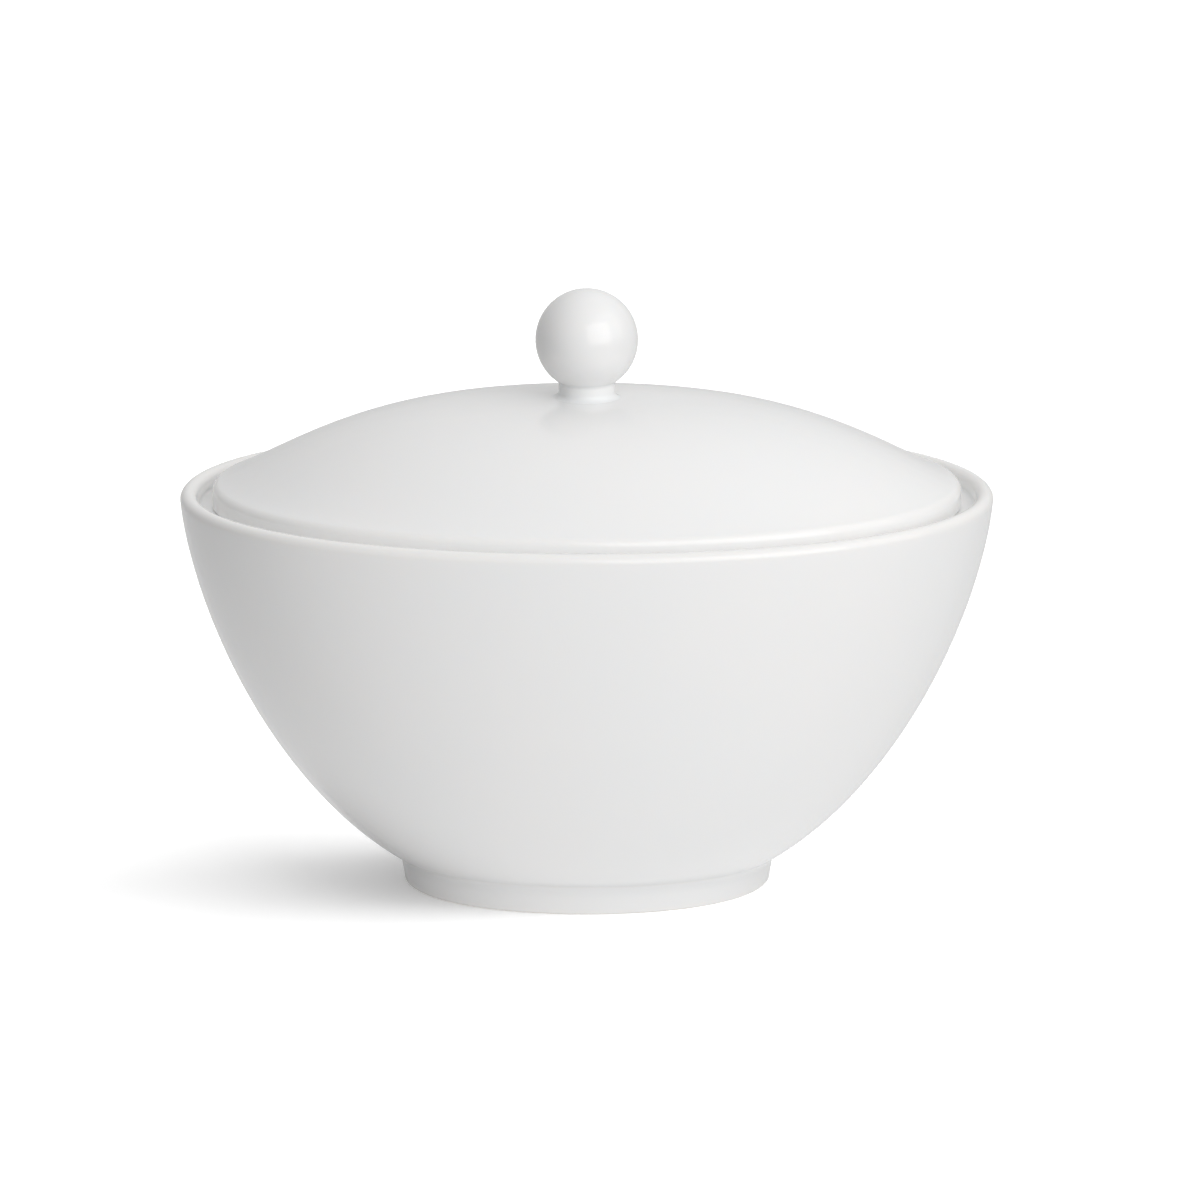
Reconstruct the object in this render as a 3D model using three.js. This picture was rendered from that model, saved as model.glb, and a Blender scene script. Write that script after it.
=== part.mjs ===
// A covered oval sugar bowl in glazed bone china.
// Millimetres, +Z up, X along the bowl's length, origin on the table under its middle.
// The bowl stands on a foot ring. The lid drops inside the rim and rests on a ledge,
// held central by a flange on its underside, and lifts straight off by its ball knob.
import * as THREE from 'three';

// Plan: every level is an oval, an ellipse filled out a little between its axes.
const RIM_HALF_LENGTH = 65;
const RIM_HALF_WIDTH = 45.5;
const PLAN_FULLNESS = 0.017;
const PLAN_SEGMENTS = 48;
const LENGTH_OVER_WIDTH = RIM_HALF_LENGTH - RIM_HALF_WIDTH;
const WALL_WIDTH_RATIO = RIM_HALF_WIDTH / RIM_HALF_LENGTH;

// Luted pieces and resting faces stand this far apart.
const GAP = 0.3;

// Foot ring, a little wider at its top.
const FOOT_HALF_LENGTH = 29.7;
const FOOT_FLARE = 0.6;
const FOOT_THICKNESS = 3;
const FOOT_EDGE_RADIUS = 0.4;
const FOOT_LENGTH_OVER_WIDTH = FOOT_HALF_LENGTH * (1 - WALL_WIDTH_RATIO);

// Bowl wall: the upper part of a curve that swells from a root inside the foot to the rim.
const UNDERSIDE_Z = 4.3;
const RIM_Z = 65;
const WALL_ROOT_HALF_LENGTH = 15;
const WALL_ROOT_Z = -0.4;
const WALL_RISE_POWER = 1.54;
const WALL_SWELL_POWER = 1.88;
const LIP_RADIUS = 1.35;

// Ledge inside the rim that carries the lid.
const LEDGE_Z = 62.4;
const LEDGE_OUTER = 61.9;
const LEDGE_INNER = 57.1;
const LEDGE_EDGE_RADIUS = 0.5;
const LEDGE_ROOT_Z = 60.9;

// Cavity: a flat floor that curves up into the wall.
const FLOOR_Z = 7.6;
const CAVITY_TOP_Z = 56.5;
const CAVITY_HALF_LENGTH = 60.4;
const CAVITY_WIDTH_RATIO = 0.685;
const CAVITY_POWER = 4.26;

// Lid dome, with a rolled edge.
const LID_HALF_LENGTH = 59.8;
const LID_EDGE_Z = 66;
const LID_RISE = 13.8;
const LID_PLAN_POWER = 3;
const LID_CROWN_POWER = 1.3;
const LID_ROLL_RADIUS = 1.6;
const LID_ROLL_START = 58.8;
const LID_THICKNESS = 3.3;
const LID_REST_RADIUS = 0.5;
const LID_REST_INNER = 57.2;

// Flange under the lid, inside the ledge, and its seat.
const SEAT_Z = 63.6;
const SEAT_INNER = 52.5;
const FLANGE_OUTER = 56.5;
const FLANGE_THICKNESS = 2.6;
const FLANGE_BOTTOM_Z = 57.7;

// Knob: a ball on a short flared neck.
const BALL_RADIUS = 8.2;
const BALL_CENTRE_Z = 89;
const NECK_RADIUS = 4.5;
const NECK_FLARE_RADIUS = 1.2;
const KNOB_SEGMENTS = 28;

const glazedChina = { color: 0xeeece8, roughness: 0.18, metalness: 0 };
const bareChina = { color: 0xe6e1d8, roughness: 0.7, metalness: 0 };

// Points {a, z} along a circular arc in the profile plane, angles in degrees from +a.
function arc(centreA, centreZ, radius, fromAngle, toAngle, steps) {
  return Array.from({ length: steps + 1 }, (_, i) => {
    const angle = THREE.MathUtils.degToRad(THREE.MathUtils.lerp(fromAngle, toAngle, i / steps));
    return { a: centreA + radius * Math.cos(angle), z: centreZ + radius * Math.sin(angle) };
  });
}

// A profile point's half-width b is in proportion to its half-length a,
// or a constant distance short of it, as on a rim of even thickness.
function inProportion(points, ratio) {
  return points.map(({ a, z }) => ({ a, b: a * ratio, z }));
}

function shortBy(points, distance) {
  return points.map(({ a, z }) => ({ a, b: a - distance, z }));
}

function closed(profile) {
  return [...profile, profile[0]];
}

// Turn the profile on a lathe, then press each round ring into the oval plan.
function ovalLathe(profile) {
  const outline = profile.map(({ a, z }) => new THREE.Vector2(a, z));
  const geometry = new THREE.LatheGeometry(outline, PLAN_SEGMENTS);
  const position = geometry.attributes.position;
  for (let i = 0; i <= PLAN_SEGMENTS; i++) {
    const angle = ((i % PLAN_SEGMENTS) * 2 * Math.PI) / PLAN_SEGMENTS;
    const fullness = 1 + PLAN_FULLNESS * Math.sin(2 * angle) ** 2;
    const u = fullness * Math.cos(angle);
    const v = fullness * Math.sin(angle);
    profile.forEach(({ a, b, z }, j) => {
      position.setXYZ(i * profile.length + j, a * u, b * v, z);
    });
  }
  geometry.computeVertexNormals();
  return geometry;
}

function piece(name, geometry, finish) {
  const mesh = new THREE.Mesh(geometry, new THREE.MeshStandardMaterial(finish));
  mesh.name = name;
  return mesh;
}

// Outer half-length of the wall at a height.
function wallHalfLength(z) {
  const share = (z - WALL_ROOT_Z) / (RIM_Z - WALL_ROOT_Z);
  const swell = (1 - (1 - share) ** WALL_RISE_POWER) ** (1 / WALL_SWELL_POWER);
  return THREE.MathUtils.lerp(WALL_ROOT_HALF_LENGTH, RIM_HALF_LENGTH, swell);
}

function outerWall(steps) {
  return Array.from({ length: steps + 1 }, (_, i) => {
    const z = THREE.MathUtils.lerp(UNDERSIDE_Z, RIM_Z - LIP_RADIUS, (i / steps) ** 1.3);
    return { a: wallHalfLength(z), z };
  });
}

function cavityWall(steps) {
  return Array.from({ length: steps + 1 }, (_, i) => {
    const share = 1 - i / steps;
    const z = FLOOR_Z + (CAVITY_TOP_Z - FLOOR_Z) * share ** CAVITY_POWER;
    return { a: CAVITY_HALF_LENGTH * share, z };
  });
}

function bowlBody() {
  const outer = outerWall(14);
  const lipTop = outer.at(-1);
  const lip = arc(lipTop.a - LIP_RADIUS, lipTop.z, LIP_RADIUS, 0, 180, 6).slice(1);
  const r = LEDGE_EDGE_RADIUS;
  const ledge = [
    ...arc(LEDGE_OUTER - r, LEDGE_Z + r, r, 0, -90, 2),
    ...arc(LEDGE_INNER + r, LEDGE_Z - r, r, 90, 180, 3),
    { a: LEDGE_INNER, z: LEDGE_ROOT_Z },
  ];
  return ovalLathe([
    { a: 0, b: 0, z: UNDERSIDE_Z },
    ...inProportion(outer, WALL_WIDTH_RATIO),
    ...shortBy([...lip, ...ledge], LENGTH_OVER_WIDTH),
    ...inProportion(cavityWall(12), CAVITY_WIDTH_RATIO),
  ]);
}

function footRing() {
  const top = UNDERSIDE_Z - GAP;
  const inner = FOOT_HALF_LENGTH - FOOT_THICKNESS;
  const r = FOOT_EDGE_RADIUS;
  const outside = [
    ...arc(FOOT_HALF_LENGTH - r, r, r, -90, 0, 3),
    { a: FOOT_HALF_LENGTH + FOOT_FLARE, z: top },
  ];
  const inside = [
    { a: inner - FOOT_FLARE, z: top },
    ...arc(inner + r, r, r, 180, 270, 3),
  ];
  return ovalLathe(closed([
    ...inProportion(outside, WALL_WIDTH_RATIO),
    ...shortBy(inside, FOOT_LENGTH_OVER_WIDTH),
  ]));
}

// Height of the lid's top face at a half-length from the middle.
function domeZ(a) {
  const reach = (a / LID_HALF_LENGTH) ** LID_PLAN_POWER;
  return LID_EDGE_Z + LID_RISE * (1 - reach) ** LID_CROWN_POWER;
}

// The dome's curve from the middle out to a half-length, lowered by a drop.
function domeCurve(halfLength, drop, steps) {
  return Array.from({ length: steps + 1 }, (_, i) => {
    const a = (halfLength * i) / steps;
    return { a, z: domeZ(a) - drop };
  });
}

// Arc that carries the dome round into the lid's upright edge.
function lidRoll(steps) {
  const centreA = LID_HALF_LENGTH - LID_ROLL_RADIUS;
  const startAngle = Math.acos((LID_ROLL_START - centreA) / LID_ROLL_RADIUS);
  const centreZ = domeZ(LID_ROLL_START) - LID_ROLL_RADIUS * Math.sin(startAngle);
  return arc(centreA, centreZ, LID_ROLL_RADIUS, 0, THREE.MathUtils.radToDeg(startAngle), steps);
}

function lidShell() {
  const r = LID_REST_RADIUS;
  const restZ = LEDGE_Z + GAP;
  const underside = [
    { a: SEAT_INNER, z: SEAT_Z },
    { a: LID_REST_INNER - r, z: SEAT_Z },
    { a: LID_REST_INNER, z: restZ },
    ...arc(LID_HALF_LENGTH - r, restZ + r, r, -90, 0, 2),
  ];
  const hollowRatio = (SEAT_INNER - LENGTH_OVER_WIDTH) / SEAT_INNER;
  const domeRatio = (LID_ROLL_START - LENGTH_OVER_WIDTH) / LID_ROLL_START;
  return ovalLathe([
    ...inProportion(domeCurve(SEAT_INNER, LID_THICKNESS, 12), hollowRatio),
    ...shortBy([...underside, ...lidRoll(4)], LENGTH_OVER_WIDTH),
    ...inProportion(domeCurve(LID_ROLL_START, 0, 12).slice(0, -1).reverse(), domeRatio),
  ]);
}

function lidFlange() {
  const top = SEAT_Z - GAP;
  const inner = FLANGE_OUTER - FLANGE_THICKNESS;
  const r = FLANGE_THICKNESS / 2;
  return ovalLathe(closed(shortBy([
    { a: FLANGE_OUTER, z: top },
    { a: inner, z: top },
    ...arc(inner + r, FLANGE_BOTTOM_Z + r, r, 180, 360, 6),
  ], LENGTH_OVER_WIDTH)));
}

function lidKnob() {
  const baseZ = domeZ(0) + GAP;
  const neckAngle = THREE.MathUtils.radToDeg(Math.asin(NECK_RADIUS / BALL_RADIUS));
  const r = NECK_FLARE_RADIUS;
  const flare = arc(NECK_RADIUS + r, baseZ + r, r, 270, 180, 4);
  const ball = arc(0, BALL_CENTRE_Z, BALL_RADIUS, neckAngle - 90, 90, 14).slice(0, -1);
  const top = { a: 0, z: BALL_CENTRE_Z + BALL_RADIUS };
  const outline = [{ a: 0, z: baseZ }, ...flare, ...ball, top];
  const geometry = new THREE.LatheGeometry(outline.map(({ a, z }) => new THREE.Vector2(a, z)), KNOB_SEGMENTS);
  return geometry.rotateX(Math.PI / 2);
}

const sugarBowl = new THREE.Group();
sugarBowl.add(
  piece('bowl_body', bowlBody(), glazedChina),
  piece('foot_ring', footRing(), bareChina),
  piece('lid_shell', lidShell(), glazedChina),
  piece('lid_flange', lidFlange(), glazedChina),
  piece('lid_knob', lidKnob(), glazedChina),
);

export default sugarBowl;
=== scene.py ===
import math

import bpy
import numpy as np
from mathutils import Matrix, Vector


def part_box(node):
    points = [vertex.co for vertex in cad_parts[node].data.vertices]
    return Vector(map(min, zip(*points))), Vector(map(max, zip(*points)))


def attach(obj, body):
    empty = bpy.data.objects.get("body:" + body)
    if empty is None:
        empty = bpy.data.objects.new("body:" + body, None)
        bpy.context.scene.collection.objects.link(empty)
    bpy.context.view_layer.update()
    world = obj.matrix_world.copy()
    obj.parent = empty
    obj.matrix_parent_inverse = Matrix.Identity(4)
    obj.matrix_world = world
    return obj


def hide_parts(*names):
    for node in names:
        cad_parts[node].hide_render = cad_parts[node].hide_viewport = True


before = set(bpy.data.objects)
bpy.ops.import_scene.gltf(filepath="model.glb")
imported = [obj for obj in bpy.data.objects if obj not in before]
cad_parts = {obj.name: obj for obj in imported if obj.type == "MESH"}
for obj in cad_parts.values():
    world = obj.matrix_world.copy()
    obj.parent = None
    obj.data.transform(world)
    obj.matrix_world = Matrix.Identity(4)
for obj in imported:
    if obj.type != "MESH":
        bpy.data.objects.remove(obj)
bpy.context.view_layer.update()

MM = 0.001
UP = np.array([0.0, 0.0, 1.0])

# Joined pieces run on past their seams, sunk just out of sight.
SUNK = 0.01 * MM

# Plan: an ellipse, filled out a little between its axes.
PLAN_SEGMENTS = 192
PLAN_FULLNESS = 0.017
PLAN_ANGLES = np.arange(PLAN_SEGMENTS) * 2 * math.pi / PLAN_SEGMENTS
POLE_SHARE = 0.02

# Bowl wall, from its box in the frame: the upper part of a curve that swells from a root
# inside the foot to the rim.
bowl_low, bowl_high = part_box("bowl_body")
RIM_HALF_LENGTH = bowl_high.x
RIM_Z = bowl_high.z
UNDERSIDE_Z = bowl_low.z
WIDTH_RATIO = bowl_high.y / bowl_high.x
WALL_ROOT_HALF_LENGTH = 15 * MM
WALL_ROOT_Z = -0.4 * MM
WALL_RISE_POWER = 1.54
WALL_SWELL_POWER = 1.88
LIP_RADIUS = 1.35 * MM
LIP_Z = RIM_Z - LIP_RADIUS

# Ledge inside the rim that carries the lid, undercut below, and the cavity.
LEDGE_Z = 62.4 * MM
LEDGE_FALL_IN = 0.3 * MM
LEDGE_WIDTH = 4.8 * MM
LEDGE_RADIUS = 0.5 * MM
LEDGE_DEPTH = 1.0 * MM
LEDGE_ROOT_RADIUS = 1.5 * MM
LEDGE_SLANT = 1.5 * MM
CAVITY_TOP_RADIUS = 3 * MM
CAVITY_TOP_LEAN = 12
FLOOR_Z = 7.6 * MM
CAVITY_POWER = 4.26

# Foot ring.
foot_low, foot_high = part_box("foot_ring")
FOOT_FLARE = 0.6 * MM
FOOT_HALF_LENGTH = foot_high.x - FOOT_FLARE
FOOT_THICKNESS = 3 * MM
FOOT_EDGE_RADIUS = 0.4 * MM
FOOT_OUTER_FILLET = 3.2 * MM
FOOT_INNER_FILLET = 0.8 * MM
FOOT_TUCK = 0.3 * MM
FOOT_ROOT_DEPTH = 1 * MM
FILLET_HALVINGS = 40

# Lid: a dome whose height falls away from the middle, and a rolled edge.
_, lid_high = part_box("lid_shell")
LID_HALF_LENGTH = lid_high.x
LID_TOP_Z = lid_high.z
LID_EDGE_Z = 66 * MM
LID_PLAN_POWER = 3
LID_CROWN_POWER = 1.3
LID_ROLL_RADIUS = 1.6 * MM
LID_ROLL_INSET = 1.07 * MM
LID_THICKNESS = 3.3 * MM
LID_REST_RADIUS = 0.5 * MM
LID_REST_CLEARANCE = 0.05 * MM
REST_Z = LEDGE_Z + LID_REST_CLEARANCE
HOLLOW_HALF_LENGTH = 52.5 * MM
HOLLOW_ROLL_RADIUS = 1.2 * MM
HOLLOW_ROLL_INSET = 0.67 * MM
HOLLOW_CORNER_RADIUS = 0.4 * MM

# Flange under the lid, and its seat.
flange_low, flange_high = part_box("lid_flange")
FLANGE_OUTER = flange_high.x
FLANGE_THICKNESS = 2.6 * MM
FLANGE_OUTER_FILLET = 0.4 * MM
FLANGE_INNER_FILLET = 0.8 * MM
FLANGE_TUCK = 0.2 * MM
FLANGE_ROOT_DEPTH = 0.3 * MM
SEAT_Z = 63.6 * MM

# Knob. Its flare runs on into a hidden skirt just under the dome.
_, knob_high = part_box("lid_knob")
BALL_RADIUS = knob_high.x
BALL_CENTRE_Z = knob_high.z - BALL_RADIUS
NECK_RADIUS = 4.5 * MM
NECK_FLARE_RADIUS = 1.0 * MM
NECK_SKIRT = 2 * MM
FLARE_SUNK = 0.003 * MM
KNOB_ROOT_DEPTH = 1 * MM

# Glaze: how far along the surface it evens out, and the bend that counts as a sharp edge.
GLAZE_REACH = 0.6 * MM
SHARP_BEND = 1 / (1.2 * MM)

# Glaze colour and gloss. The bends are shares of a sharp edge's, below 0 in a hollow.
GLAZE_IOR = 1.5
GLAZE_WARM = (0.905, 0.9, 0.895, 1)
GLAZE_COOL = (0.895, 0.897, 0.896, 1)
GLAZE_THIN = (0.91, 0.897, 0.88, 1)
GLAZE_POOLED = (0.865, 0.88, 0.882, 1)
THIN_BEND = (0.2, 0.9)
POOLED_BEND = (-0.9, -0.15)
MOST_TINT = 0.7
GLAZE_ROUGHNESS = (0.1, 0.16)
CLOUD_SIZE = 32 * MM
GLOSS_PATCH_SIZE = 14 * MM

# Relief of the surface. Its heights are in millimetres, and everything else in metres.
WAVE_SIZE = 24 * MM
WAVE_HEIGHT = 0.06
PEEL_SIZE = 1.1 * MM
PEEL_HEIGHT = 0.0015
PINHOLE_SPACING = 5 * MM
PINHOLE_RADIUS = 0.14 * MM
PINHOLE_DEPTH = 0.02
GLAZE_STEP = 0.03
GRAIN_HEIGHT = 0.012

# China under the glaze, and bare on the standing face.
SUBSURFACE_WEIGHT = 0.12
SUBSURFACE_REACH = 1.5 * MM
SUBSURFACE_BY_COLOUR = (1, 0.85, 0.7)
BARE_LIGHT = (0.86, 0.835, 0.79, 1)
BARE_DARK = (0.79, 0.755, 0.7, 1)
BARE_ROUGHNESS = (0.62, 0.78)
GRAIN_SIZE = 0.35 * MM

# The glaze stops a little above the standing face, in a fading line that wavers.
GLAZE_LINE_FADE = (0.04 * MM, 0.12 * MM)
SLOW_WAVER_SIZE = 7 * MM
SLOW_WAVER_HEIGHT = 0.08 * MM
QUICK_WAVER_SIZE = 1 * MM
QUICK_WAVER_HEIGHT = 0.03 * MM

# Most of a noise texture's values are between these.
NOISE_LOW = 0.3
NOISE_HIGH = 0.7

# Studio. The shade fades from its core to its edge.
LIGHT_AIM = Vector((0, 0, 40 * MM))
LIGHT_DISTANCE = 1.2
WIDE_PANEL = (1.4, 1.2)
LOW_PANEL = (1.2, 0.5)
SQUARE_PANEL = (1.2, 1.0)
FLOOR_RADIUS = 8
FLOOR_GLOW = 0.108
MATT_ROUGHNESS = 0.9
SHADE_X = -26 * MM
SHADE_Z = -1 * MM
SHADE_HALF_LENGTH = 48 * MM
SHADE_HALF_WIDTH = 30 * MM
SHADE_CORE = 10 * MM
SHADE_GREY = (0.5, 0.5, 0.5, 1)
SHADE_GLOW = 0.15
WHITE = (1, 1, 1, 1)

# Camera, with its lens and sensor in millimetres and its tilt down from level in degrees.
CAMERA_LENS = 151.8
CAMERA_SENSOR = 36
CAMERA_PLACE = (2.1 * MM, -787.1 * MM, 251.5 * MM)
CAMERA_TILT = 14.61


# --- Rings and lofts ---------------------------------------------------------

def oval(half_length, half_width, z):
    """A ring of points at one height."""
    fullness = 1 + PLAN_FULLNESS * np.sin(2 * PLAN_ANGLES) ** 2
    x = half_length * np.cos(PLAN_ANGLES) * fullness
    y = half_width * np.sin(PLAN_ANGLES) * fullness
    return np.stack([x, y, np.full(PLAN_SEGMENTS, z)], axis=1)


def wall_oval(half_length, z):
    """A ring in the proportions of the bowl's wall."""
    return oval(half_length, half_length * WIDTH_RATIO, z)


def rim_oval(half_length, z):
    """A ring at an even distance inside the rim."""
    rim = wall_oval(RIM_HALF_LENGTH, z)
    return moved(rim, half_length - RIM_HALF_LENGTH, 0)


def outward(ring):
    """Level unit vectors that point straight out from the ring."""
    along = np.roll(ring, -1, axis=0) - np.roll(ring, 1, axis=0)
    normal = np.stack([along[:, 1], -along[:, 0], np.zeros(len(ring))], axis=1)
    return normal / np.linalg.norm(normal, axis=1, keepdims=True)


def moved(ring, out, up):
    """The ring moved out along its own normals, and up."""
    out = np.broadcast_to(out, len(ring))[:, None]
    up = np.broadcast_to(up, len(ring))[:, None]
    return ring + out * outward(ring) + up * UP


def level(ring):
    return ring[0][2]


def line(ring, out, up, steps):
    """Rings on a straight line in the outline, after the ring it starts from."""
    return [moved(ring, out * i / steps, up * i / steps) for i in range(1, steps + 1)]


def line_to(ring, z, steps):
    """Rings straight up or down to a height, after the ring they start from."""
    return line(ring, 0, z - level(ring), steps)


def arc(ring, radius, start, end, steps):
    """Rings on an arc in the outline, after the ring it starts from.

    start and end are the angles of the arc's ends round its centre, in degrees from outward.
    """
    start, end = np.radians(start), np.radians(end)
    rings = []
    for i in range(1, steps + 1):
        angle = start + (end - start) * i / steps
        out = radius * (np.cos(angle) - np.cos(start))
        up = radius * (np.sin(angle) - np.sin(start))
        rings.append(moved(ring, out, up))
    return rings


def shrunk(ring, shares, heights):
    """Copies of the ring drawn in to a share of its size, each level at its own height."""
    return [np.stack([ring[:, 0] * s, ring[:, 1] * s, np.full(len(ring), z)], axis=1)
            for s, z in zip(shares, heights)]


def outline_bend(rings, closed):
    """How sharply the outline bends at each ring, 1 on a sharp edge and -1 in a tight hollow.

    The bend is averaged along the outline over the reach of the glaze.
    """
    points = np.array([(ring[0][0], ring[0][2]) for ring in rings])
    count = len(points)
    if closed:
        points = np.concatenate([points] * 3)
    steps = np.diff(points, axis=0)
    heading = np.unwrap(np.arctan2(steps[:, 1], steps[:, 0]))
    turn = np.concatenate([[0], np.diff(heading), [0]])
    along = np.concatenate([[0], np.cumsum(np.hypot(steps[:, 0], steps[:, 1]))])
    spread = np.exp(-((along[:, None] - along) / GLAZE_REACH) ** 2 / 2)
    bend = spread @ turn / (GLAZE_REACH * math.sqrt(2 * math.pi)) / SHARP_BEND
    if closed:
        bend = bend[count:2 * count]
    return np.clip(bend, -1, 1)


def loft(name, rings, closed=False):
    """A smooth closed mesh through the rings. An open run of rings is capped on the axis."""
    count = len(rings[0])
    vertices = [tuple(point) for ring in rings for point in ring]
    pairs = [(i, i + 1) for i in range(len(rings) - 1)]
    if closed:
        pairs.append((len(rings) - 1, 0))
    faces = [(low * count + j, low * count + (j + 1) % count,
              high * count + (j + 1) % count, high * count + j)
             for low, high in pairs for j in range(count)]
    bend = np.repeat(outline_bend(rings, closed), count)
    if not closed:
        last = (len(rings) - 1) * count
        vertices += [(0, 0, level(rings[0])), (0, 0, level(rings[-1]))]
        bottom, top = len(vertices) - 2, len(vertices) - 1
        faces += [(bottom, (j + 1) % count, j) for j in range(count)]
        faces += [(top, last + j, last + (j + 1) % count) for j in range(count)]
        bend = np.concatenate([bend, [0, 0]])
    mesh = bpy.data.meshes.new(name)
    mesh.from_pydata(vertices, [], faces)
    mesh.attributes.new("bend", "FLOAT", "POINT").data.foreach_set("value", bend)
    mesh.shade_smooth()
    piece = bpy.data.objects.new(name, mesh)
    bpy.context.collection.objects.link(piece)
    return piece


# --- Bowl --------------------------------------------------------------------

def wall_swell(z):
    """How far the wall has swelled at a height, before it is scaled to the rim."""
    share = (z - WALL_ROOT_Z) / (RIM_Z - WALL_ROOT_Z)
    return (1 - (1 - share) ** WALL_RISE_POWER) ** (1 / WALL_SWELL_POWER)


def wall_half_length(z):
    """Outer half-length of the wall at a height."""
    swell = wall_swell(z) / wall_swell(LIP_Z)
    return WALL_ROOT_HALF_LENGTH + (RIM_HALF_LENGTH - WALL_ROOT_HALF_LENGTH) * swell


def wall_pitch(z):
    """Angle of the wall above level at a height, in radians."""
    step = 0.01 * MM
    return math.atan2(2 * step, wall_half_length(z + step) - wall_half_length(z - step))


def bowl():
    """Underside, wall, rolled lip, ledge for the lid, and cavity."""
    middle = wall_oval(wall_half_length(UNDERSIDE_Z), UNDERSIDE_Z)
    underside_shares = np.append(np.linspace(POLE_SHARE, 0.97, 20), [0.99, 0.998])
    rings = shrunk(middle, underside_shares, np.full(len(underside_shares), UNDERSIDE_Z))
    rise = np.append([0, 0.0005], np.linspace(0.03, 1, 120) ** 1.6)
    heights = UNDERSIDE_Z + (LIP_Z - UNDERSIDE_Z) * rise
    rings += [wall_oval(wall_half_length(z), z) for z in heights]
    rings += arc(rings[-1], LIP_RADIUS, 0, 180, 18)
    rings += line(rings[-1], -LEDGE_FALL_IN, LEDGE_Z + LEDGE_RADIUS - level(rings[-1]), 4)
    rings += arc(rings[-1], LEDGE_RADIUS, 0, -90, 6)
    rings += line(rings[-1], 2 * LEDGE_RADIUS - LEDGE_WIDTH, 0, 8)
    rings += arc(rings[-1], LEDGE_RADIUS, 90, 180, 6)
    rings += line(rings[-1], 0, -LEDGE_DEPTH, 3)
    rings += arc(rings[-1], LEDGE_ROOT_RADIUS, 180, 225, 6)
    rings += line(rings[-1], LEDGE_SLANT, -LEDGE_SLANT, 5)
    rings += arc(rings[-1], CAVITY_TOP_RADIUS, 45, -CAVITY_TOP_LEAN, 8)
    top = rings[-1]
    shares = np.linspace(1, POLE_SHARE, 110)[1:]
    depth = level(top) - FLOOR_Z
    rings += shrunk(top, shares, FLOOR_Z + depth * shares ** CAVITY_POWER)
    return loft("bowl_china", rings)


def toward(angle):
    """Unit vector, out and up, at an angle above outward in the outline."""
    return np.array([math.cos(angle), math.sin(angle)])


def right_of(way):
    """Unit vector a quarter turn clockwise from another: out of the foot and wall, and down."""
    return np.array([way[1], -way[0]])


def round_points(centre, radius, start, end, steps):
    """Points of the outline on an arc, between two angles in radians from outward."""
    return [centre + radius * toward(angle) for angle in np.linspace(start, end, steps)]


def fillet_centre(z):
    """Middle of the foot's outer fillet when it touches the wall at a height."""
    away = right_of(toward(wall_pitch(z)))
    return np.array([wall_half_length(z), z]) + FOOT_OUTER_FILLET * away


def fillet_touch(side_start, side_away):
    """Height on the wall at which the fillet touches the foot's side as well."""
    low, high = UNDERSIDE_Z, UNDERSIDE_Z + 2 * FOOT_OUTER_FILLET
    for _ in range(FILLET_HALVINGS):
        touch_z = (low + high) / 2
        if (fillet_centre(touch_z) - side_start) @ side_away < FOOT_OUTER_FILLET:
            low = touch_z
        else:
            high = touch_z
    return touch_z


def foot_outside():
    """Rings from the standing face, up the side and through the fillet to under the wall."""
    side_pitch = math.atan2(foot_high.z - FOOT_EDGE_RADIUS - foot_low.z, FOOT_FLARE)
    side_away = right_of(toward(side_pitch))
    edge_centre = np.array([FOOT_HALF_LENGTH, foot_low.z]) + FOOT_EDGE_RADIUS * np.array([-1, 1])
    outline = round_points(edge_centre, FOOT_EDGE_RADIUS, -math.pi / 2, 0, 8)
    side_start = outline[-1]
    touch_z = fillet_touch(side_start, side_away)
    centre = fillet_centre(touch_z)
    side_end = centre - FOOT_OUTER_FILLET * side_away
    outline += [side_start + (side_end - side_start) * t for t in np.linspace(0, 1, 10)[1:-1]]
    pitch = wall_pitch(touch_z)
    outline += round_points(centre, FOOT_OUTER_FILLET, side_pitch + math.pi / 2,
                            pitch + math.pi / 2, 20)
    wall_way = toward(pitch)
    into_wall = -right_of(wall_way)
    outline += [outline[-1] + t * (FOOT_TUCK * wall_way + 2 * SUNK * into_wall) for t in (0.5, 1)]
    return [wall_oval(half_length, z) for half_length, z in outline]


def foot():
    """Ring with a flat standing face and rounded edges, faired into the bowl above it."""
    outside = foot_outside()
    start = moved(outside[0], -FOOT_THICKNESS + 2 * FOOT_EDGE_RADIUS, 0)
    inside = [start] + arc(start, FOOT_EDGE_RADIUS, 270, 180, 8)
    inside += line_to(inside[-1], UNDERSIDE_Z - FOOT_INNER_FILLET + SUNK, 8)
    inside += arc(inside[-1], FOOT_INNER_FILLET, 0, 90, 12)
    inside += [moved(inside[-1], -FOOT_TUCK, SUNK), moved(inside[-1], 0, FOOT_ROOT_DEPTH)]
    return loft("foot_china", outside + inside[::-1], closed=True)


# --- Lid ---------------------------------------------------------------------

def dome_z(share):
    """Height of the lid's top face, a share of the way from the middle to its edge."""
    drop = (1 - share ** LID_PLAN_POWER) ** LID_CROWN_POWER
    return LID_EDGE_Z + (LID_TOP_Z - LID_EDGE_Z) * drop


def dome_slope(share):
    """How fast the top face falls, in metres for each whole half-length."""
    step = 1e-4
    return (dome_z(share - step) - dome_z(share + step)) / (2 * step)


def roll_start(ring, share):
    """Angle at which an arc leaves the dome's curve at a ring, right round the ring."""
    reach = np.sum(ring * outward(ring), axis=1)
    return 90 - np.degrees(np.arctan(dome_slope(share) * share / reach))


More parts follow.
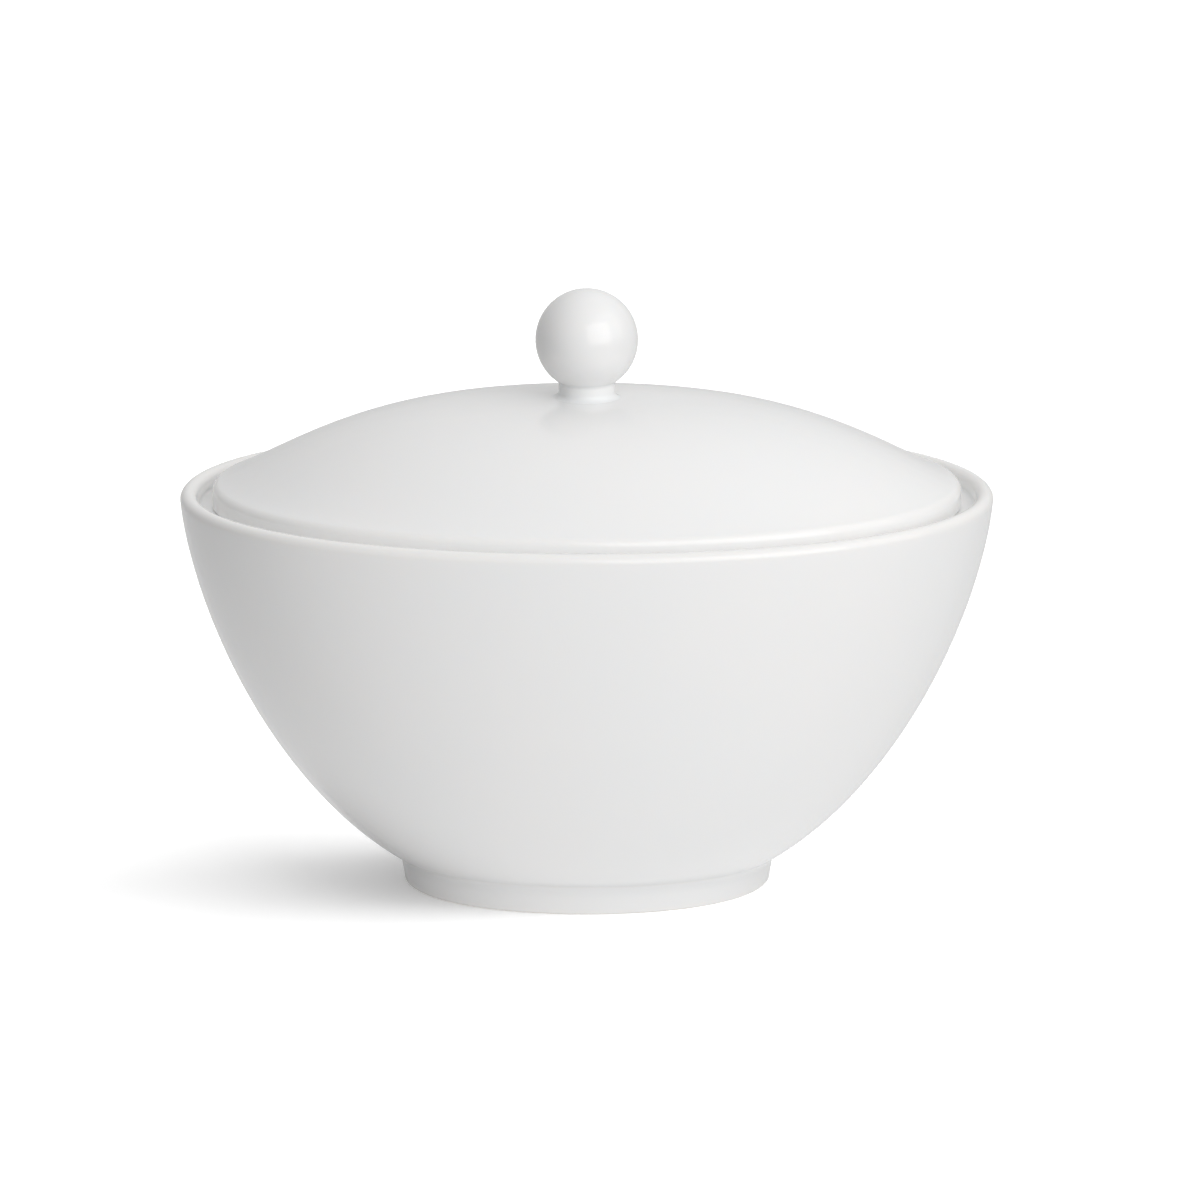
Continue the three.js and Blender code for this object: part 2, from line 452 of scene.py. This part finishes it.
def lid():
    """Domed top with a rolled edge, a resting band, a seat for the flange and a hollow."""
    hollow_edge_half_length = HOLLOW_HALF_LENGTH - HOLLOW_ROLL_INSET
    hollow_edge_share = hollow_edge_half_length / LID_HALF_LENGTH
    hollow_edge = rim_oval(hollow_edge_half_length, dome_z(hollow_edge_share) - LID_THICKNESS)
    shares = np.linspace(POLE_SHARE, 1, 90)
    rings = shrunk(hollow_edge, shares, dome_z(hollow_edge_share * shares) - LID_THICKNESS)
    rings += arc(rings[-1], HOLLOW_ROLL_RADIUS, roll_start(hollow_edge, hollow_edge_share), 0, 10)
    rings += line(rings[-1], 0, SEAT_Z + HOLLOW_CORNER_RADIUS - rings[-1][:, 2], 4)
    rings += arc(rings[-1], HOLLOW_CORNER_RADIUS, 180, 270, 6)

    # The seat and the inner part of the resting band are inside the flange's root.
    band_inner = FLANGE_OUTER - 0.5 * FLANGE_THICKNESS
    rings += [rim_oval(band_inner, SEAT_Z), rim_oval(band_inner, REST_Z)]
    band_outer = LID_HALF_LENGTH - LID_REST_RADIUS
    band = rim_oval(FLANGE_OUTER, REST_Z)
    rings += [band] + line(band, band_outer - FLANGE_OUTER, 0, 6)
    rings += arc(rings[-1], LID_REST_RADIUS, 270, 360, 6)

    edge_share = 1 - LID_ROLL_INSET / LID_HALF_LENGTH
    edge = rim_oval(LID_HALF_LENGTH - LID_ROLL_INSET, dome_z(edge_share))
    roll = arc(edge, LID_ROLL_RADIUS, roll_start(edge, edge_share), 0, 14)
    rings += roll[::-1] + [edge]
    outer = np.linspace(1, POLE_SHARE, 120)[1:]
    rings += shrunk(edge, outer, dome_z(edge_share * outer))
    return loft("lid_china", rings)


def flange():
    """Oval ring with a rounded lower edge, faired into the lid above it."""
    radius = FLANGE_THICKNESS / 2
    seam = rim_oval(FLANGE_OUTER - FLANGE_THICKNESS - FLANGE_INNER_FILLET, SEAT_Z + SUNK)
    rings = [moved(seam, 0, FLANGE_ROOT_DEPTH), moved(seam, -FLANGE_TUCK, SUNK), seam]
    rings += arc(seam, FLANGE_INNER_FILLET, 90, 0, 10)
    rings += line_to(rings[-1], flange_low.z + radius, 8)
    rings += arc(rings[-1], radius, 180, 360, 16)
    rings += line_to(rings[-1], REST_Z - FLANGE_OUTER_FILLET + SUNK, 6)
    rings += arc(rings[-1], FLANGE_OUTER_FILLET, 180, 90, 8)
    rings += [moved(rings[-1], FLANGE_TUCK, SUNK), moved(rings[-1], 0, FLANGE_ROOT_DEPTH)]
    return loft("flange_china", rings, closed=True)


def knob():
    """Ball on a short neck that flares into the lid."""
    circle = np.stack([np.cos(PLAN_ANGLES), np.sin(PLAN_ANGLES), np.zeros(PLAN_SEGMENTS)], axis=1)
    base = circle * (NECK_RADIUS + NECK_FLARE_RADIUS) + UP * (LID_TOP_Z - FLARE_SUNK)
    rings = shrunk(base, (0.1, 0.5), np.full(2, LID_TOP_Z - KNOB_ROOT_DEPTH))
    rings += [moved(base, NECK_SKIRT, -FLARE_SUNK), base]
    rings += arc(base, NECK_FLARE_RADIUS, 270, 180, 14)
    neck_angle = math.degrees(math.acos(NECK_RADIUS / BALL_RADIUS))
    neck_top = BALL_CENTRE_Z - BALL_RADIUS * math.sin(math.radians(neck_angle))
    rings += line_to(rings[-1], neck_top, 3)
    rings += arc(rings[-1], BALL_RADIUS, -neck_angle, 89, 72)
    for ring in rings:
        settle(ring)
    return loft("knob_china", rings)


def settle(ring):
    """Lower a ring of the knob's flare by as much as the dome has fallen beneath it."""
    fade = np.clip(1 - (level(ring) - LID_TOP_Z) / NECK_FLARE_RADIUS, 0, 1)
    lid_half_width = LID_HALF_LENGTH - RIM_HALF_LENGTH * (1 - WIDTH_RATIO)
    share = np.hypot(ring[:, 0] / LID_HALF_LENGTH, ring[:, 1] / lid_half_width)
    ring[:, 2] -= fade * (LID_TOP_Z - dome_z(share))


# --- Materials ---------------------------------------------------------------

class Shading:
    """A material's node tree, with short ways to add the nodes used here."""

    def __init__(self, name):
        self.material = bpy.data.materials.new(name)
        self.material.use_nodes = True
        self.tree = self.material.node_tree
        self.shader = self.tree.nodes["Principled BSDF"]
        self.place = self.add("ShaderNodeTexCoord").outputs["Object"]

    def add(self, kind, inputs=None, **settings):
        made = self.tree.nodes.new(kind)
        for name, value in settings.items():
            setattr(made, name, value)
        for name, value in (inputs or {}).items():
            self.put(made.inputs[name], value)
        return made

    def put(self, socket, value):
        if isinstance(value, bpy.types.NodeSocket):
            self.tree.links.new(value, socket)
        else:
            socket.default_value = value

    def noise(self, size, detail=2.0):
        """Soft noise from 0 to 1, with features about as large as size."""
        node = self.add("ShaderNodeTexNoise", {"Vector": self.place, "Scale": 1 / size,
                                               "Detail": detail})
        return node.outputs["Fac"]

    def specks(self, spacing, radius):
        """1 in small round specks that are scattered about, and 0 between them."""
        cells = self.add("ShaderNodeTexVoronoi", {"Vector": self.place, "Scale": 1 / spacing})
        return self.ranged(cells.outputs["Distance"], 0, radius / spacing, 1, 0)

    def ranged(self, value, low, high, to_low, to_high):
        """The value's stretch from low to high, carried over smoothly to another range."""
        node = self.add("ShaderNodeMapRange", {"Value": value, "From Min": low, "From Max": high,
                                               "To Min": to_low, "To Max": to_high},
                        interpolation_type="SMOOTHSTEP")
        return node.outputs["Result"]

    def spread(self, noise, to_low, to_high):
        """Noise carried over to a range that nearly all of it fills."""
        return self.ranged(noise, NOISE_LOW, NOISE_HIGH, to_low, to_high)

    def math(self, operation, a, b):
        node = self.add("ShaderNodeMath", operation=operation)
        self.put(node.inputs[0], a)
        self.put(node.inputs[1], b)
        return node.outputs[0]

    def total(self, *terms):
        """The sum of the (value, weight) terms."""
        result = 0
        for value, weight in terms:
            result = self.math("ADD", result, self.math("MULTIPLY", value, weight))
        return result

    def mixed(self, share, a, b):
        """Colour a, going over to colour b as the share goes to 1."""
        node = self.add("ShaderNodeMix", data_type="RGBA")
        self.put(node.inputs[0], share)
        self.put(node.inputs[6], a)
        self.put(node.inputs[7], b)
        return node.outputs[2]

    def bumped(self, height):
        """A surface normal bumped by a height in millimetres."""
        node = self.add("ShaderNodeBump", {"Height": height, "Strength": 1, "Distance": MM})
        return node.outputs["Normal"]


def china(name):
    """Bone china under a clear glaze: light carries a little way through it."""
    shading = Shading(name)
    inputs = shading.shader.inputs
    inputs["IOR"].default_value = GLAZE_IOR
    inputs["Subsurface Weight"].default_value = SUBSURFACE_WEIGHT
    inputs["Subsurface Radius"].default_value = SUBSURFACE_BY_COLOUR
    inputs["Subsurface Scale"].default_value = SUBSURFACE_REACH
    return shading


def glaze_colour(shading):
    """Faint clouds of warm and cool white, warmer on edges and cooler in hollows."""
    bend = shading.add("ShaderNodeAttribute", attribute_name="bend").outputs["Fac"]
    clouds = shading.spread(shading.noise(CLOUD_SIZE), 0, 1)
    colour = shading.mixed(clouds, GLAZE_WARM, GLAZE_COOL)
    thin = shading.ranged(bend, *THIN_BEND, 0, MOST_TINT)
    pooled = shading.ranged(bend, *POOLED_BEND, MOST_TINT, 0)
    colour = shading.mixed(thin, colour, GLAZE_THIN)
    return shading.mixed(pooled, colour, GLAZE_POOLED)


def glaze_roughness(shading):
    """A gloss that varies a little from place to place."""
    return shading.spread(shading.noise(GLOSS_PATCH_SIZE, 4), *GLAZE_ROUGHNESS)


def glaze_height(shading):
    """Slow waves, a faint orange peel and a few pinholes, in millimetres."""
    return shading.total((shading.noise(WAVE_SIZE), WAVE_HEIGHT),
                         (shading.noise(PEEL_SIZE), PEEL_HEIGHT),
                         (shading.specks(PINHOLE_SPACING, PINHOLE_RADIUS), -PINHOLE_DEPTH))


def glazed_china():
    """Bone china that is glazed all over."""
    shading = china("glazed_china")
    inputs = shading.shader.inputs
    shading.put(inputs["Base Color"], glaze_colour(shading))
    shading.put(inputs["Roughness"], glaze_roughness(shading))
    shading.put(inputs["Normal"], shading.bumped(glaze_height(shading)))
    return shading.material


def foot_china():
    """Glaze that stops at a wavering line, above a bare standing face ground smooth."""
    shading = china("foot_china")
    inputs = shading.shader.inputs
    height = shading.add("ShaderNodeSeparateXYZ", {"Vector": shading.place}).outputs["Z"]
    glaze_line = shading.total((shading.noise(SLOW_WAVER_SIZE), SLOW_WAVER_HEIGHT),
                               (shading.noise(QUICK_WAVER_SIZE), QUICK_WAVER_HEIGHT))
    above = shading.math("SUBTRACT", height, glaze_line)
    glazed = shading.ranged(above, *GLAZE_LINE_FADE, 0, 1)
    bare = shading.math("SUBTRACT", 1, glazed)
    grain = shading.noise(GRAIN_SIZE, 3)
    bare_colour = shading.mixed(shading.spread(grain, 0, 1), BARE_DARK, BARE_LIGHT)
    shading.put(inputs["Base Color"], shading.mixed(glazed, bare_colour, glaze_colour(shading)))
    roughness = shading.total((glaze_roughness(shading), glazed),
                              (shading.spread(grain, *BARE_ROUGHNESS), bare))
    shading.put(inputs["Roughness"], roughness)
    bare_height = shading.math("MULTIPLY", grain, GRAIN_HEIGHT)
    relief = shading.total((glaze_height(shading), 1), (glazed, GLAZE_STEP), (bare, bare_height))
    shading.put(inputs["Normal"], shading.bumped(relief))
    return shading.material


# --- Assembly ----------------------------------------------------------------

def place(piece, body, node, material):
    """Give a piece its material and its body, in place of a node of the frame."""
    piece.data.materials.append(material)
    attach(piece, body)
    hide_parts(node)
    return piece


glaze = glazed_china()
pieces = [
    place(bowl(), "bowl", "bowl_body", glaze),
    place(foot(), "bowl", "foot_ring", foot_china()),
    place(lid(), "lid", "lid_shell", glaze),
    place(flange(), "lid", "lid_flange", glaze),
    place(knob(), "lid", "lid_knob", glaze),
]


# --- Studio ------------------------------------------------------------------

def stage_disc(name, radius, vertices, colour, glow):
    """A matt disc that glows a little and isn't part of the bowl, and its shading."""
    bpy.ops.mesh.primitive_circle_add(vertices=vertices, radius=radius, fill_type="NGON")
    disc = bpy.context.object
    disc.name = name
    shading = Shading(name)
    inputs = shading.shader.inputs
    inputs["Base Color"].default_value = colour
    inputs["Roughness"].default_value = MATT_ROUGHNESS
    inputs["Emission Color"].default_value = WHITE
    inputs["Emission Strength"].default_value = glow
    disc.data.materials.append(shading.material)
    return disc, shading


def floor():
    """White floor. What the bowl gets from below comes from the surround, not from here."""
    disc, shading = stage_disc("studio_floor", FLOOR_RADIUS, 128, WHITE, FLOOR_GLOW)
    disc.visible_glossy = False
    disc.visible_diffuse = False
    disc.visible_shadow = False
    shading.shader.inputs["Specular IOR Level"].default_value = 0
    return disc


def foot_shade():
    """Soft grey patch just below the floor, unseen by the camera.

    It takes away light that would come up past the foot from under the floor.
    """
    disc, shading = stage_disc("foot_shade", SHADE_HALF_LENGTH, 64, SHADE_GREY, SHADE_GLOW)
    disc.location = (SHADE_X, 0, SHADE_Z)
    disc.scale.y = SHADE_HALF_WIDTH / SHADE_HALF_LENGTH
    disc.visible_camera = False
    reach = shading.add("ShaderNodeVectorMath", operation="LENGTH")
    shading.put(reach.inputs[0], shading.place)
    fade = shading.ranged(reach.outputs["Value"], SHADE_CORE, SHADE_HALF_LENGTH, 1, 0)
    shading.put(shading.shader.inputs["Alpha"], fade)


def gathered(name, objects):
    """A collection for lights to be aimed at. It isn't part of the scene's own collections."""
    collection = bpy.data.collections.new(name)
    for member in objects:
        collection.objects.link(member)
    return collection


def softbox(name, azimuth, elevation, size, power, lit):
    """A rectangular light on one collection; azimuth 0 is the camera's side, 90 the right."""
    around, above = math.radians(azimuth), math.radians(elevation)
    way = Vector((math.sin(around) * math.cos(above), -math.cos(around) * math.cos(above),
                  math.sin(above)))
    light = bpy.data.lights.new(name, "AREA")
    light.shape = "RECTANGLE"
    light.size = size[0]
    light.size_y = size[1]
    light.energy = power
    lamp = bpy.data.objects.new(name, light)
    lamp.location = LIGHT_AIM + way * LIGHT_DISTANCE
    lamp.rotation_euler = (-way).to_track_quat("-Z", "Y").to_euler()
    lamp.light_linking.receiver_collection = lit
    bpy.context.collection.objects.link(lamp)


def surround(glows):
    """Soft light from all round: each glow is its direction, its level and how narrow it is."""
    world = bpy.data.worlds.new("studio")
    world.use_nodes = True
    tree = world.node_tree
    direction = tree.nodes.new("ShaderNodeTexCoord").outputs["Generated"]
    total = None
    for way, glow_level, narrowness in glows:
        facing = tree.nodes.new("ShaderNodeVectorMath")
        facing.operation = "DOT_PRODUCT"
        facing.inputs[1].default_value = Vector(way).normalized()
        tree.links.new(direction, facing.inputs[0])
        lobe = facing.outputs["Value"]
        for operation, amount in (("MAXIMUM", 0), ("POWER", narrowness), ("MULTIPLY", glow_level)):
            step = tree.nodes.new("ShaderNodeMath")
            step.operation = operation
            step.inputs[1].default_value = amount
            tree.links.new(lobe, step.inputs[0])
            lobe = step.outputs[0]
        if total is not None:
            both = tree.nodes.new("ShaderNodeMath")
            tree.links.new(total, both.inputs[0])
            tree.links.new(lobe, both.inputs[1])
            lobe = both.outputs[0]
        total = lobe
    background = tree.nodes["Background"]
    background.inputs["Color"].default_value = WHITE
    tree.links.new(total, background.inputs["Strength"])
    bpy.context.scene.world = world


def camera():
    """Camera in front of the bowl, looking down at it a little."""
    data = bpy.data.cameras.new("camera")
    data.lens = CAMERA_LENS
    data.sensor_width = CAMERA_SENSOR
    eye = bpy.data.objects.new("camera", data)
    eye.location = CAMERA_PLACE
    eye.rotation_euler = (math.radians(90 - CAMERA_TILT), 0, 0)
    bpy.context.collection.objects.link(eye)
    bpy.context.scene.camera = eye


foot_shade()
floor_only = gathered("floor_only", [floor()])
bowl_only = gathered("bowl_only", pieces)
softbox("bowl_front", 30, 25, SQUARE_PANEL, 6.2, bowl_only)
softbox("bowl_right", 60, 35, WIDE_PANEL, 3.9, bowl_only)
softbox("floor_low", 95, 12, LOW_PANEL, 35.8, floor_only)
softbox("floor_back", 130, 35, WIDE_PANEL, 5.8, floor_only)
softbox("floor_high", 45, 60, SQUARE_PANEL, 9.2, floor_only)
surround([((0, 1, 0), 0.63, 1), ((0, -1, 0), 0.51, 2), ((0, 0, 1), 0.58, 1),
          ((0, 0, -1), 1.29, 2)])
camera()
bpy.context.scene.view_settings.view_transform = "Standard"
